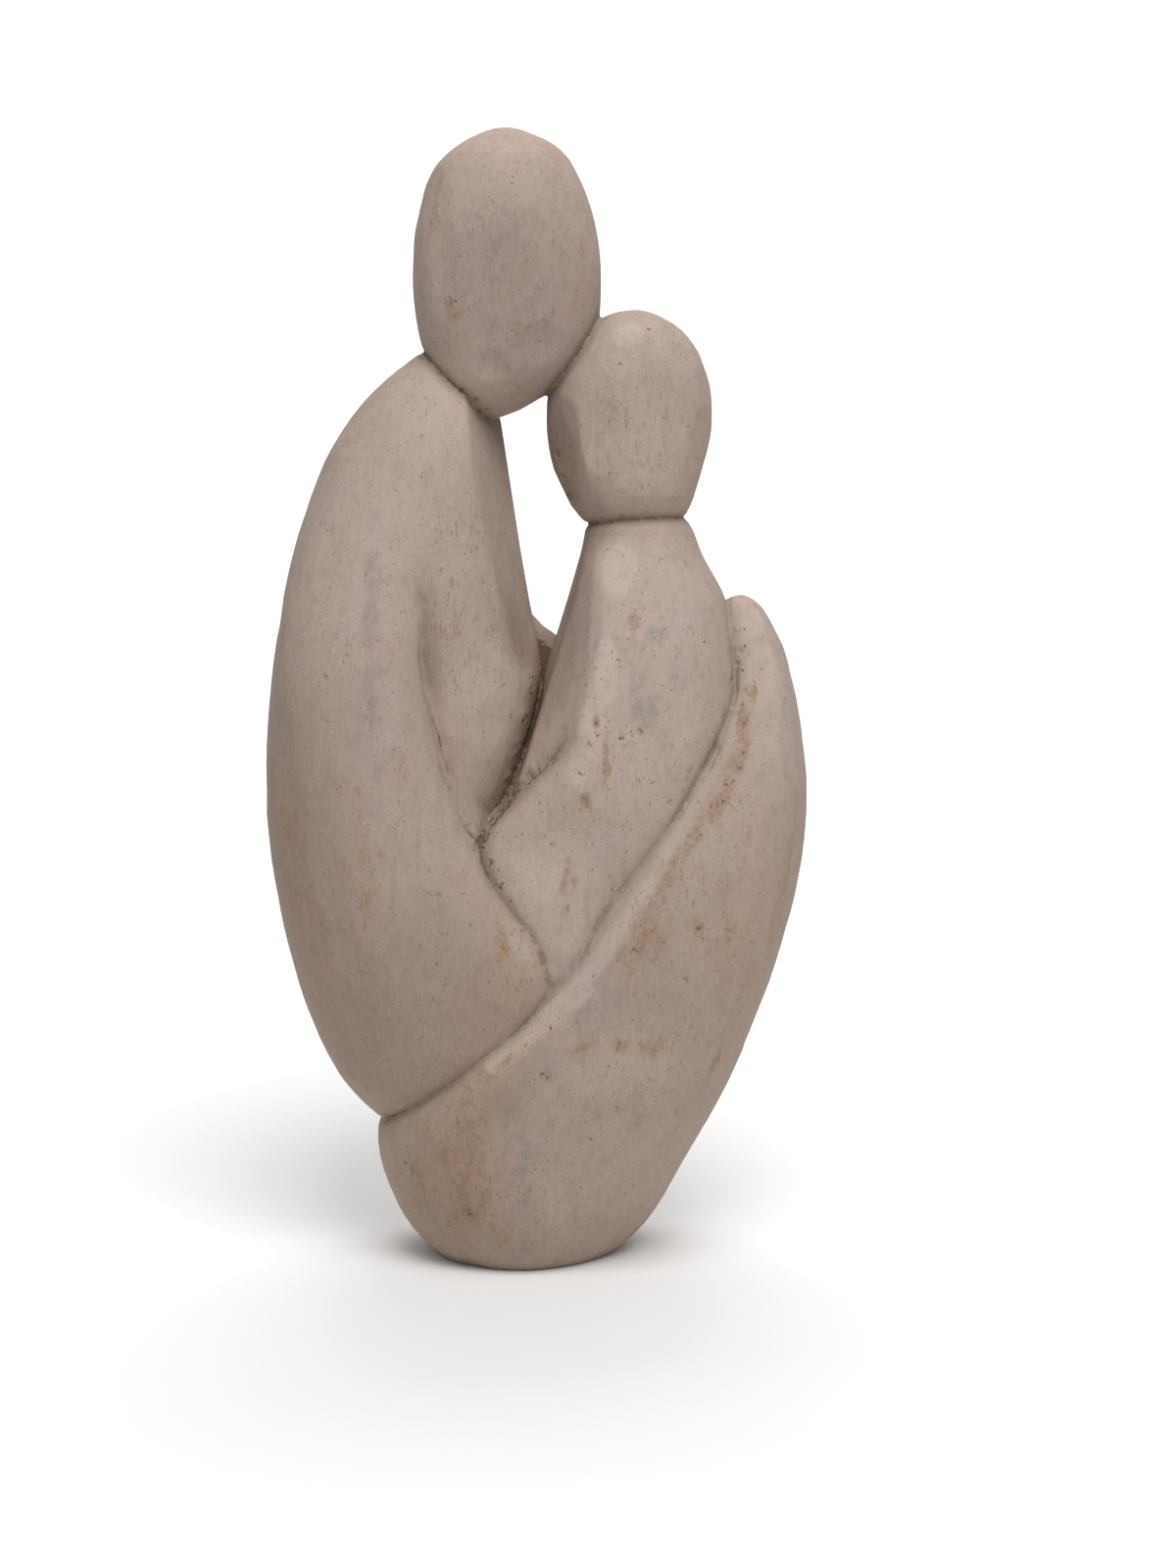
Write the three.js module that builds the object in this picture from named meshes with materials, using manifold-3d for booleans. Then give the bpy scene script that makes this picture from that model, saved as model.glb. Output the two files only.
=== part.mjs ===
// Parent and child sculpture: two faceless figures embracing, carved from one block of light wood.
// Millimetres, +Z up, the viewer in front at -Y. The origin is the centre of the flat underside.
// The carving is built as a carver reads it: rounded forms ("lobes") that meet in sharp creases.
import * as THREE from "three";
import { mergeVertices } from "three/addons/utils/BufferGeometryUtils.js";
import Module from "manifold-3d";

const wasm = await Module();
wasm.setup();

const ROUND = 2.2; // fullness of a rib where nothing else is said
const DEEPEST = 52; // greatest bulge of any rib
const AROUND = 32; // faces around one lobe
const ALONG = 26; // faces from its top to its bottom
const LARGE = 600; // more than the height of the carving

// Flats that the knife leaves: a point on the flat, then the way that it faces.
const CHEST_FLAT = [-18.5, -25, 275, 0.93, -0.37, 0.2]; // along the gap, on the parent
const CHILD_FLANK = [20, -38, 213, -0.72, -0.67, 0.17]; // the child's side, towards the parent
const CHILD_CHEEK = [14, -20, 285, -0.85, -0.45, -0.27]; // the child's head, towards the parent
const UNDERSIDE = [0, 0, 0, 0, 0, -1];

// Each lobe is a closed pillow: its rim is seen from the front, and ribs span it from left to right.
// A rib is [left x, left z, right x, right z, bulge to the front, bulge to the back], and then the
// fullness of its left and of its right, where 2 is an ellipse and more is squarer.
// "hem" is the width of the bevel along a lobe's left edge, and its drop at the edge.
// "mid" is how far the rim lies behind the middle plane of the block.
const PARENT_HEAD = {
  top: [-10, 400],
  ribs: [
    [-31.5, 389, 9.3, 392.3, 20, 20],
    [-40, 368, 20, 372, 29, 29],
    [-41.5, 342, 23.5, 345, 31, 31],
    [-37.5, 321, 20, 324, 28, 27],
    [-31, 308, 6, 310, 20, 19],
  ],
  bottom: [-18, 300],
};
const CHILD_HEAD = {
  top: [36, 338],
  ribs: [
    [18, 332, 51, 331, 16, 16],
    [7, 316, 60, 316, 25, 25],
    [4.5, 297, 61.5, 296, 27, 27],
    [9, 277, 57, 278, 25, 24],
    [19, 264, 52, 265, 17, 18],
  ],
  bottom: [36, 257],
  facets: [CHILD_CHEEK],
};
const PARENT_TRUNK = {
  top: [-28, 327],
  ribs: [
    [-45, 315, -13, 307, 15, 20],
    [-64, 295, -10, 289, 26, 32],
    [-77, 268, -7, 268, 34, 38],
    [-86, 238, -2.5, 240, 35, 42, 2.2, 2.6],
    [-88, 205, 2, 208, 33, 44, 2.2, 2.6],
    [-84, 170, -6, 175, 28, 42],
    [-70, 140, -18, 150, 21, 38],
  ],
  bottom: [-45, 118],
  facets: [CHEST_FLAT],
};
const PARENT_SLEEVE = {
  top: [-28, 327],
  ribs: [
    [-46.5, 318, -14, 308, 15, 20],
    [-66.5, 297.5, -11, 290, 26, 32],
    [-79.5, 270, -11, 268, 34.5, 38],
    [-88.5, 238, -30, 243, 39, 42, 2.2, 2.6],
    [-93, 208, -32, 214, 47, 44, 2.2, 2.8],
    [-95.5, 166, -20, 174, 50, 46, 2.2, 2.8],
    [-91, 124, 6, 136, 51, 46, 2.2, 2.8],
    [-79, 82, 16, 106, 47, 42, 2.2, 2.8],
    [-64, 58, 2, 76, 38, 36, 2.2, 2.8],
  ],
  bottom: [-38, 42],
  facets: [CHEST_FLAT],
};
// The parent's other arm goes round the child's back.
const FAR_ARM = {
  top: [-44, 262],
  ribs: [
    [-62, 240, -14, 245, 12, 22],
    [-58, 202, 6, 224, 12, 27],
    [-34, 164, 52, 202, 8, 31],
  ],
  bottom: [84, 160],
  mid: 16,
};
const CHILD_TRUNK = {
  top: [37, 271],
  ribs: [
    [21.5, 262, 54.5, 260, 16, 18],
    [14, 238, 66, 238, 26, 28],
    [4, 212, 70, 210, 31, 34],
    [-6, 180, 66, 182, 32, 36],
    [-22, 150, 50, 150, 26, 36],
  ],
  bottom: [0, 122],
};
const CHILD_SLEEVE = {
  top: [39, 270],
  ribs: [
    [21, 262, 55, 262, 18, 16],
    [15, 238, 68, 237, 33, 26, 4, 2.2],
    [6, 212, 74, 212, 40, 30, 5, 2.2],
    [-2, 186, 73.5, 190, 42, 30, 5, 2.4],
    [-10, 160, 68, 164, 43, 30, 4, 2.4],
    [-12, 132, 50, 134, 43, 30, 3, 2.4],
    [-2, 102, 30, 104, 41, 28, 3, 2.4],
  ],
  bottom: [10, 80],
  facets: [CHILD_FLANK],
};
const CHILD_FOREARM = {
  top: [30, 214],
  ribs: [
    [9, 192, 56, 196, 35, 30, 4, 2.2],
    [-9, 168, 54, 170, 41.5, 30, 5, 2.2],
    [-28, 148, 46, 150, 43, 30, 4, 2.2],
    [-14, 122, 34, 126, 43, 30, 3, 2.2],
    [-2, 100, 24, 100, 41, 28, 3, 2.2],
  ],
  bottom: [10, 78],
};
// The broad lap that holds both figures rises on the right and is the foot of the carving.
const LAP = {
  top: [75, 238],
  ribs: [
    [69.5, 232, 82, 231, 14, 14, 3, 2.2],
    [67, 208, 92, 205, 30, 26, 5, 2.2],
    [51, 178, 97.2, 168, 43, 38, 6, 2.2],
    [27, 140, 94, 136, 50, 44, 6, 2.2],
    [0, 103, 85.5, 104, 52, 47, 6, 2.2],
    [-32, 73, 71, 66, 51, 48, 5, 2.2],
    [-56.5, 49, 55.5, 36, 45, 42, 2.8, 2.1],
    [-43, 6, 36, 5, 34, 32, 2.1, 1.65],
  ],
  bottom: [-4, -14],
  hem: [19, 10],
};
const LOBES = [
  PARENT_HEAD,
  CHILD_HEAD,
  PARENT_TRUNK,
  PARENT_SLEEVE,
  FAR_ARM,
  CHILD_TRUNK,
  CHILD_SLEEVE,
  CHILD_FOREARM,
  LAP,
];

// A smooth curve through evenly spaced values a, b, c and d, where f runs from b to c.
const smooth = (a, b, c, d, f) =>
  b + 0.5 * f * (c - a + f * (2 * a - 5 * b + 4 * c - d + f * (3 * (b - c) + d - a)));

// A value at place t of a lobe, from one value for each rib and the value at its two ends.
function along(values, t, atEnds) {
  const inner = [atEnds, ...values, atEnds];
  const last = inner.length - 1;
  const before = 2 * atEnds - inner[1];
  const after = 2 * atEnds - inner[last - 1];
  const all = [before, ...inner, after];
  const i = Math.min(Math.floor(t), last - 1);
  return smooth(all[i], all[i + 1], all[i + 2], all[i + 3], t - i);
}

function solid(geometry) {
  geometry.deleteAttribute("normal");
  geometry.deleteAttribute("uv");
  const g = mergeVertices(geometry, 1e-3);
  const tri = new Uint32Array(g.index.array);
  return new wasm.Manifold(
    new wasm.Mesh({ numProp: 3, vertProperties: g.attributes.position.array, triVerts: tri }));
}

// All that lies beyond a flat.
function beyond([x, y, z, ...way]) {
  const box = new THREE.BoxGeometry(LARGE, LARGE, LARGE).translate(0, 0, LARGE / 2);
  const facing = new THREE.Vector3(...way).normalize();
  const up = new THREE.Vector3(0, 0, 1);
  box.applyQuaternion(new THREE.Quaternion().setFromUnitVectors(up, facing));
  return solid(box.translate(x, y, z));
}

function lobe({ top, ribs, bottom, mid = 0, hem = [1, 0], facets = [] }) {
  const inFront = ([x, z]) => new THREE.Vector3(x, 0, z);
  const right = ribs.map((r) => inFront(r.slice(2, 4)));
  const left = ribs.map((r) => inFront(r.slice(0, 2)));
  const rim = new THREE.CatmullRomCurve3(
    [inFront(top), ...right, inFront(bottom), ...left.toReversed()], true);
  const points = 2 * ribs.length + 2;
  const [width, drop] = hem;
  const ball = new THREE.SphereGeometry(1, AROUND, ALONG);
  const place = ball.getAttribute("position");
  for (let i = 0; i < place.count; i++) {
    const [x, y, z] = [place.getX(i), place.getY(i), place.getZ(i)];
    const t = ((1 - y) / 2) * (ribs.length + 1);
    const full = along(ribs.map((r) => r[x < 0 ? 6 : 7] ?? ROUND), t, ROUND);
    const depth = along(ribs.map((r) => r[z > 0 ? 4 : 5]), t, 0);
    const reach = (Math.abs(x) ** full + Math.abs(z) ** full) ** (1 / full) || 1;
    const share = (1 + x / reach) / 2;
    const a = rim.getPoint(((points - t) / points) % 1);
    const b = rim.getPoint(t / points);
    const fromLeft = a.distanceTo(b) * share;
    const most = depth * (1 - (drop / DEEPEST) * Math.max(0, 1 - fromLeft / width));
    const p = a.lerp(b, share);
    place.setXYZ(i, p.x, mid - Math.min((depth * z) / reach, most), p.z);
  }
  return facets.reduce((made, facet) => made.subtract(beyond(facet)), solid(ball));
}

const carving = LOBES.map(lobe)
  .reduce((a, b) => a.add(b))
  .subtract(beyond(UNDERSIDE));

function geometryOf(made) {
  const mesh = made.getMesh();
  const g = new THREE.BufferGeometry();
  g.setAttribute("position", new THREE.BufferAttribute(mesh.vertProperties, 3));
  g.setIndex(new THREE.BufferAttribute(mesh.triVerts, 1));
  g.computeVertexNormals();
  return g;
}

const limewashedWood = new THREE.MeshStandardMaterial({ color: 0xa8978a, roughness: 0.85, metalness: 0 });
const figures = new THREE.Mesh(geometryOf(carving), limewashedWood);
figures.name = "parent_and_child";
const sculpture = new THREE.Group();
sculpture.add(figures);
export default sculpture;
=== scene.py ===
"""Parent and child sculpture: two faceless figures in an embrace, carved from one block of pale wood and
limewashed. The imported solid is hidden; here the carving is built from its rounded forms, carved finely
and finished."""
import math
import random

import bmesh
import bpy
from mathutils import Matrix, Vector, noise
from mathutils.bvhtree import BVHTree
from mathutils.kdtree import KDTree


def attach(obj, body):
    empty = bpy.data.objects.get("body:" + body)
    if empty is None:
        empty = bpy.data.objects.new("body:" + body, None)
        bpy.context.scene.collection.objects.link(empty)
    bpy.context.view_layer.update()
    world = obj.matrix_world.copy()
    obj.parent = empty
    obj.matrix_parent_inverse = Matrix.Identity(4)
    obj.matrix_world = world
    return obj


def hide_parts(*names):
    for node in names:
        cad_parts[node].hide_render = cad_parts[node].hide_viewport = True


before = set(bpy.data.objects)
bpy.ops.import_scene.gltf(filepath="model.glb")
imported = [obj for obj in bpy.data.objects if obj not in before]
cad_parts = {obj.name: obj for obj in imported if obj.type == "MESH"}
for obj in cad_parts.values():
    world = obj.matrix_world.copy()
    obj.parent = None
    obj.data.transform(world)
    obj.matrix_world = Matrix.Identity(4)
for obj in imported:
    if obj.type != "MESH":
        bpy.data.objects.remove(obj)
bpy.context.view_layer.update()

# THE CARVING
# One block of light, straight-grained wood with the grain upright, roughed out with a saw and a gouge
# into rounded forms that meet in sharp creases, pared with a knife, limewashed and then rubbed back.
MM = 0.001


def in_metres(places):
    """A list of places in millimetres as points."""
    return [Vector(place) * MM for place in places]


ROUND = 2.2
DEEPEST = 52
FORM_AROUND = 96
FORM_ALONG = 96

# A flat is a point on it and the way it faces, in millimetres.
CHEST_FLAT = ((-18.5, -25, 275), (0.93, -0.37, 0.2))
CHILD_FLANK = ((18.5, -39.5, 203), (-0.72, -0.67, 0.28))
CHILD_CHEEK = ((14, -17, 285), (-0.776, -0.62, -0.12))

# A rib of a form: left x, left z, right x, right z, bulge to the front and to the back, and then the
# fullness of its left and right sides where they are not plain rounds.
FORMS = {
    "parent_head": dict(
        top=(-10, 400), bottom=(-18, 300),
        ribs=[(-31.5, 389, 9.3, 392.3, 20, 20), (-40, 368, 20, 372, 29, 29),
              (-41.5, 342, 23.5, 345, 31, 31), (-37.5, 321, 20, 324, 28, 27),
              (-31, 308, 6, 310, 20, 19)]),
    "child_head": dict(
        top=(36, 338), bottom=(36, 257), flats=[CHILD_CHEEK],
        ribs=[(18, 332, 51, 331, 16, 16), (7, 316, 60, 316, 25, 25), (4.5, 297, 61.5, 296, 27, 27),
              (9, 277, 57, 278, 25, 24), (19, 264, 52, 265, 17, 18)]),
    "parent_trunk": dict(
        top=(-28, 327), bottom=(-45, 118), flats=[CHEST_FLAT],
        ribs=[(-45, 315, -13, 307, 18, 20), (-64, 295, -10, 289, 28, 32),
              (-77, 268, -7, 268, 34, 38), (-86, 238, -2.5, 240, 35, 42, 2.2, 2.6),
              (-88, 205, 2, 208, 34, 44, 2.2, 2.6), (-84, 170, -6, 175, 34, 42),
              (-70, 140, -18, 150, 32, 38)]),
    "parent_sleeve": dict(
        top=(-28, 327), bottom=(-38, 42), flats=[CHEST_FLAT],
        ribs=[(-46.5, 318, -14, 308, 18, 20), (-66.5, 297.5, -11, 290, 28, 32),
              (-79.5, 270, -11, 268, 34.5, 38), (-88.5, 238, -30, 243, 39, 42, 2.2, 2.6),
              (-93, 208, -32, 214, 47, 44, 2.2, 2.8), (-95.5, 166, -20, 174, 50, 46, 2.2, 2.8),
              (-91, 124, -1.5, 141, 51, 46, 2.2, 2.8), (-79, 82, 24, 106, 48, 42, 2.2, 3.2),
              (-64, 58, 2, 76, 38, 36, 2.2, 2.8)]),
    "far_arm": dict(
        top=(-44, 262), bottom=(84, 160), mid=16,
        ribs=[(-62, 240, -14, 245, 12, 22), (-58, 202, 6, 224, 12, 27), (-34, 164, 52, 202, 8, 31)]),
    "child_trunk": dict(
        top=(37, 279), bottom=(0, 122), flats=[CHILD_FLANK],
        ribs=[(20.5, 267, 54, 265, 19, 18), (16.2, 253, 59.5, 253, 23, 24), (12, 238, 65, 239, 26, 28),
              (4, 212, 70, 210, 31, 34),
              (-6, 180, 66, 182, 32, 36), (-22, 150, 50, 150, 26, 36)]),
    "child_sleeve": dict(
        top=(39, 270), bottom=(10, 80), flats=[CHILD_FLANK],
        ribs=[(21, 263, 54, 263, 19, 16), (17, 252, 60, 252, 26, 21, 3, 2.2),
              (13.5, 238, 68, 237, 33, 26, 4, 2.2),
              (6, 212, 74, 212, 40, 30, 5, 2.2), (-2, 186, 73.5, 190, 42, 30, 5, 2.4),
              (-10, 160, 68, 164, 43, 30, 4, 2.4), (-12, 132, 50, 134, 43, 30, 3, 2.4),
              (-2, 102, 30, 104, 41, 28, 3, 2.4)]),
    "child_forearm": dict(
        top=(30, 214), bottom=(10, 78),
        ribs=[(9, 192, 56, 196, 35, 30, 4, 2.2), (-9, 168, 54, 170, 41.5, 30, 5, 2.2),
              (-28, 148, 46, 150, 43, 30, 4, 2.2), (-14, 122, 34, 126, 43, 30, 3, 2.2),
              (-2, 100, 24, 100, 41, 28, 3, 2.2)]),
    "lap": dict(
        top=(73.5, 238.8), bottom=(-4, -14), hem=(19, 10),
        ribs=[(68, 236.5, 79.8, 235.2, 13, 13, 3, 2.4), (68.5, 222, 87.2, 221.5, 23, 21, 4, 2.3),
              (70, 206, 92.4, 204, 30, 26, 5, 2.2),
              (53, 178, 97.2, 168, 43, 38, 6, 2.2), (27, 140, 94, 136, 50, 44, 6, 2.2),
              (0, 103, 85.5, 104, 52, 47, 6, 2.2), (-32, 73, 71, 66, 51, 48, 5, 2.2),
              (-56.5, 49, 55.5, 36, 45, 42, 2.8, 2.1), (-43, 6, 36, 5, 34, 32, 2.1, 1.65)]),
}


def along(values, place, at_ends):
    """A value at a place down a form, eased through one value for each rib."""
    inner = [at_ends, *values, at_ends]
    last = len(inner) - 1
    every = [2 * at_ends - inner[1], *inner, 2 * at_ends - inner[last - 1]]
    i = min(int(place), last - 1)
    a, b, c, d = every[i:i + 4]
    f = place - i
    return b + 0.5 * f * (c - a + f * (2 * a - 5 * b + 4 * c - d + f * (3 * (b - c) + d - a)))


def rim_point(points, share):
    """A point on the smooth closed rim through the ends of the ribs."""
    here = (share % 1) * len(points)
    i = int(here)
    f = here - i
    a, b, c, d = (points[(i + k - 1) % len(points)] for k in range(4))
    ab, bc, cd = (max((q - p).length, 1e-6) ** 0.5 for p, q in ((a, b), (b, c), (c, d)))
    leave = ((b - a) / ab - (c - a) / (ab + bc) + (c - b) / bc) * bc
    arrive = ((c - b) / bc - (d - b) / (bc + cd) + (d - c) / cd) * bc
    return b + f * (leave + f * (3 * (c - b) - 2 * leave - arrive + f * (2 * (b - c) + leave + arrive)))


def rounded_form(top, bottom, ribs, mid=0, hem=(1, 0), flats=()):
    """One closed form of the carving, in millimetres, shaped from a ball."""
    ball = bmesh.new()
    bmesh.ops.create_uvsphere(ball, u_segments=FORM_AROUND, v_segments=FORM_ALONG, radius=1)
    ball.verts.index_update()
    # Its faces come in a different order each time, and a fixed order gives the same carving each run.
    bm = bmesh.new()
    corners = [bm.verts.new(v.co) for v in ball.verts]
    for ring in sorted([v.index for v in face.verts] for face in ball.faces):
        bm.faces.new([corners[i] for i in ring])
    ball.free()
    rim = [Vector(p) for p in (top, *(r[2:4] for r in ribs), bottom, *(r[:2] for r in reversed(ribs)))]
    sides = {}
    for v in bm.verts:
        x, back, z = v.co
        place = (1 - z) / 2 * (len(ribs) + 1)
        key = round(z, 5)
        if key not in sides:
            sides[key] = rim_point(rim, 1 - place / len(rim)), rim_point(rim, place / len(rim))
        left, right = sides[key]
        which = 6 if x < 0 else 7
        full = along([r[which] if len(r) > which else ROUND for r in ribs], place, ROUND)
        depth = along([r[4 if back < 0 else 5] for r in ribs], place, 0)
        reach = (abs(x) ** full + abs(back) ** full) ** (1 / full) or 1
        share = (1 + x / reach) / 2
        drop = hem[1] / DEEPEST * max(0, 1 - (right - left).length * share / hem[0])
        seen = left.lerp(right, share)
        v.co = seen.x, mid + max(depth * back / reach, -depth * (1 - drop)), seen.y
    for point, facing in flats:
        cut = bmesh.ops.bisect_plane(
            bm, geom=bm.verts[:] + bm.edges[:] + bm.faces[:], plane_co=point, plane_no=facing,
            clear_outer=True)
        edge = [g for g in cut["geom_cut"] if isinstance(g, bmesh.types.BMEdge)]
        bmesh.ops.holes_fill(bm, edges=edge)
    bmesh.ops.recalc_face_normals(bm, faces=bm.faces)
    bmesh.ops.scale(bm, verts=bm.verts, vec=(MM, MM, MM))
    return bm


block = bmesh.new()
form_skins = {}
for form_name, sizes in FORMS.items():
    one = rounded_form(**sizes)
    form_skins[form_name] = BVHTree.FromBMesh(one)
    loose = bpy.data.meshes.new(form_name)
    one.to_mesh(loose)
    block.from_mesh(loose)
    one.free()
    bpy.data.meshes.remove(loose)


def placed(name, data):
    """A new object in the scene."""
    thing = bpy.data.objects.new(name, data)
    bpy.context.scene.collection.objects.link(thing)
    return thing


carving = placed("carving", bpy.data.meshes.new("carving"))
block.to_mesh(carving.data)
block.free()


def make_real(piece):
    """Applies a piece's modifiers to its mesh, and lets its groups go."""
    depsgraph = bpy.context.evaluated_depsgraph_get()
    made = bpy.data.meshes.new_from_object(piece.evaluated_get(depsgraph))
    old = piece.data
    piece.modifiers.clear()
    piece.data = made
    piece.vertex_groups.clear()
    bpy.data.meshes.remove(old)


joined = carving.modifiers.new("joined", "REMESH")
joined.mode = "VOXEL"
joined.voxel_size = 0.65 * MM
make_real(carving)

# The bodies that meet in creases, each lying over the ones after it.
BODIES = [
    ["parent_head"], ["child_head"], ["parent_trunk", "parent_sleeve"], ["lap"],
    ["child_trunk", "child_sleeve", "child_forearm"], ["far_arm"],
]
SEAM_REACH = 8 * MM
SMOOTH_RUN = 0.93
# Where one body runs into another with no crease: the middle and how far it reaches.
RUN_TOGETHER = [((-40, 42, 252), 24), ((-58, 42, 232), 22), ((-20, 40, 256), 14)]


def seam_at(point):
    """How far a point is from the crease between two bodies, in metres, below zero on the one under."""
    near = []
    for rank, body in enumerate(BODIES):
        hits = [form_skins[form_name].find_nearest(point, SEAM_REACH) for form_name in body]
        hits = [(distance, rank, facing) for place, facing, _, distance in hits if place is not None]
        if hits:
            near.append(min(hits, key=lambda hit: hit[0]))
    near.sort(key=lambda hit: hit[0])
    closest = SEAM_REACH
    for distance, rank, facing in near[1:]:
        alike = facing.dot(near[0][2])
        if alike < SMOOTH_RUN:
            away = (distance - near[0][0]) / max(0.4, (1 - alike * alike) ** 0.5)
            if away < abs(closest):
                closest = away if near[0][1] < rank else -away
    shared = max(1 - (point - Vector(place) * MM).length / (reach * MM) for place, reach in RUN_TOGETHER)
    if shared <= 0:
        return closest
    return math.copysign(SEAM_REACH, closest) * min(1, 2 * shared) + closest * max(0, 1 - 2 * shared)


# Rasped smooth where one form runs into the next: centre in millimetres, and how far it reaches.
BLENDED = [
    ((-38, -30, 272), 27), ((-58, -32, 262), 24), ((-20, -28, 262), 14), ((34, -42, 190), 17),
    ((38, -42, 166), 22), ((18, -43, 158), 18), ((14, -42, 180), 13), ((8, -43, 134), 14),
    ((24, -43, 138), 16), ((-54, 40, 244), 30), ((-30, 42, 250), 26), ((-48, -34, 58), 12),
    ((-62, 44, 206), 22), ((38, 26, 244), 26),
]
# The bottom of the deep V between the figures, where no tool got in, is clogged and uneven.
CLOGGED = [
    ((1, 5, 217), 7), ((1, -8, 214), 6), ((-1, -15, 209), 6), ((-3, -18, 198), 5), ((-5, -16, 187), 5),
    ((-7, -14, 178), 6), ((-9, -18, 170), 7), ((-12, -28, 165), 6),
]
blend = carving.vertex_groups.new(name="blended")
for v in carving.data.vertices:
    weight = max(1 - (v.co - Vector(c) * MM).length / (r * MM) for c, r in BLENDED)
    if weight > 0:
        weight = min(1, weight * 2.2) * min(1, max(0, abs(seam_at(v.co)) / (4 * MM) - 0.4))
    if weight < 0.08 and any((v.co - Vector(c) * MM).length < r * MM for c, r in CLOGGED):
        weight = 0.08
    if weight > 0:
        blend.add([v.index], min(1, weight), "REPLACE")
for smooth_name, times_over, on_group in (
        ("rasped", 300, "blended"), ("settled", 5, "")):
    rubbed_down = carving.modifiers.new(smooth_name, "SMOOTH")
    rubbed_down.factor = 0.5
    rubbed_down.iterations = times_over
    rubbed_down.vertex_group = on_group
make_real(carving)

cutting = bmesh.new()
cutting.from_mesh(carving.data)
cutting.normal_update()
cutting.verts.ensure_lookup_table()


def laid_out(verts):
    """The verts of a mesh, ready to be found by where they are."""
    where = KDTree(len(verts))
    for v in verts:
        where.insert(v.co, v.index)
    where.balance()
    return where


where = laid_out(cutting.verts)


def round_about(where, place, reach):
    """The verts within reach of the one nearest to a place in millimetres, and how far off each is."""
    return [(i, far) for _, i, far in where.find_range(where.find(Vector(place) * MM)[0], reach * MM)]


def evened(values, verts, times):
    """Values spread a little over the verts next to each."""
    for _ in range(times):
        values = [
            0.4 * values[v.index] + 0.6 * sum(values[e.other_vert(v).index] for e in v.link_edges)
            / len(v.link_edges) for v in verts]
    return values


# The body underneath is hollowed towards each crease, so that the one over it stands clear.
HOLLOWED_WIDE = 4 * MM
HOLLOWED_DEEP = 0.5 * MM
NOTCHED_WIDE = 0.8 * MM
NOTCHED_DEEP = 0.35 * MM
seams = [seam_at(v.co) for v in cutting.verts]
sunk = [
    HOLLOWED_DEEP * max(0, 1 + away / HOLLOWED_WIDE) ** 2 if away < 0
    else HOLLOWED_DEEP * max(0, 1 - 3 * away / HOLLOWED_WIDE) ** 2 for away in seams]
sunk = [
    smooth + NOTCHED_DEEP * max(0, 1 - abs(away) / NOTCHED_WIDE)
    for smooth, away in zip(evened(sunk, cutting.verts, 3), seams)]
for v in cutting.verts:
    if sunk[v.index] > 1e-5:
        v.co -= v.normal * sunk[v.index]


def pare(place, facing, deep, reach):
    """Slices the wood off flat, so deep under the place that stands out furthest within reach."""
    patch = [(cutting.verts[i], far) for _, i, far in where.find_range(place, reach)]
    furthest = max(v.co.dot(facing) for v, far in patch)
    for v, far in patch:
        proud = v.co.dot(facing) - furthest + deep
        if proud > 0:
            v.co -= facing * (proud * min(1, 3 - 3 * far / reach))


# The flats that show in front: the middle of each, the way it faces, its depth and its reach.
KNIFE_FLATS = [
    ((9, -16, 302), (-0.88, -0.46, -0.08), 1.5, 19), ((18, -20, 278), (-0.8, -0.5, -0.32), 0.8, 16),
    ((57, -12, 290), (0.88, -0.46, -0.12), 1.2, 20), ((57, -12, 308), (0.9, -0.4, 0.18), 0.8, 16),
    ((16, -20, 346), (0.86, -0.5, 0.03), 0.9, 26), ((12, -18, 321), (0.68, -0.62, -0.4), 0.9, 18),
    ((-36, -15, 370), (-0.84, -0.44, 0.32), 0.9, 20), ((-34, -19, 332), (-0.8, -0.53, -0.28), 0.8, 20),
    ((-12, -22, 388), (0, -0.6, 0.8), 0.6, 20), ((60, -30, 226), (0.62, -0.75, 0.2), 0.8, 20),
    ((52, -11, 327), (0.6, -0.4, 0.7), 1, 16), ((18, -15, 327), (-0.5, -0.55, 0.66), 1, 15),
    ((-86, -31, 205), (-0.83, -0.56, 0.03), 0.8, 32), ((-83, -38, 160), (-0.74, -0.67, -0.05), 0.8, 32),
    ((74, -44, 130), (0.66, -0.74, -0.1), 0.6, 30), ((-25, -35, 290), (0.2, -0.93, 0.3), 0.5, 15),
    ((-52, -30, 288), (-0.42, -0.8, 0.43), 0.7, 20), ((28, -40, 214), (0.02, -0.93, 0.36), 0.9, 14),
    ((21, -42, 192), (-0.12, -0.97, 0.2), 0.8, 12), ((42, -35, 232), (0.2, -0.9, 0.4), 0.9, 18),
    ((2, -43, 157), (-0.12, -0.98, 0.12), 0.9, 16), ((50, -40, 205), (0.34, -0.93, 0.1), 0.8, 18),
    ((34, -43, 178), (0.1, -0.98, -0.16), 0.8, 18), ((24, -43, 150), (0.18, -0.97, -0.16), 0.8, 16),
    ((80, -24, 218), (0.5, -0.8, 0.34), 0.9, 16), ((88, -22, 190), (0.8, -0.58, 0.1), 0.8, 20),
    ((34, -26, 320), (-0.05, -0.88, 0.46), 1.2, 17), ((46, -24, 300), (0.4, -0.9, 0.05), 0.8, 16),
    ((26, -25, 296), (-0.3, -0.95, -0.02), 0.9, 15), ((8, -28, 332), (0.3, -0.9, -0.3), 0.9, 18),
    ((-14, -27, 330), (-0.1, -0.9, -0.42), 0.9, 18), ((-8, -30, 352), (-0.05, -0.99, 0), 0.8, 20),
    ((-28, -24, 356), (-0.6, -0.8, 0.05), 0.8, 18), ((4, -28, 374), (0.2, -0.9, 0.36), 0.8, 18),
]
for place, facing, deep, reach in KNIFE_FLATS:
    pare(Vector(place) * MM, Vector(facing).normalized(), deep * MM, reach * MM)


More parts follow.
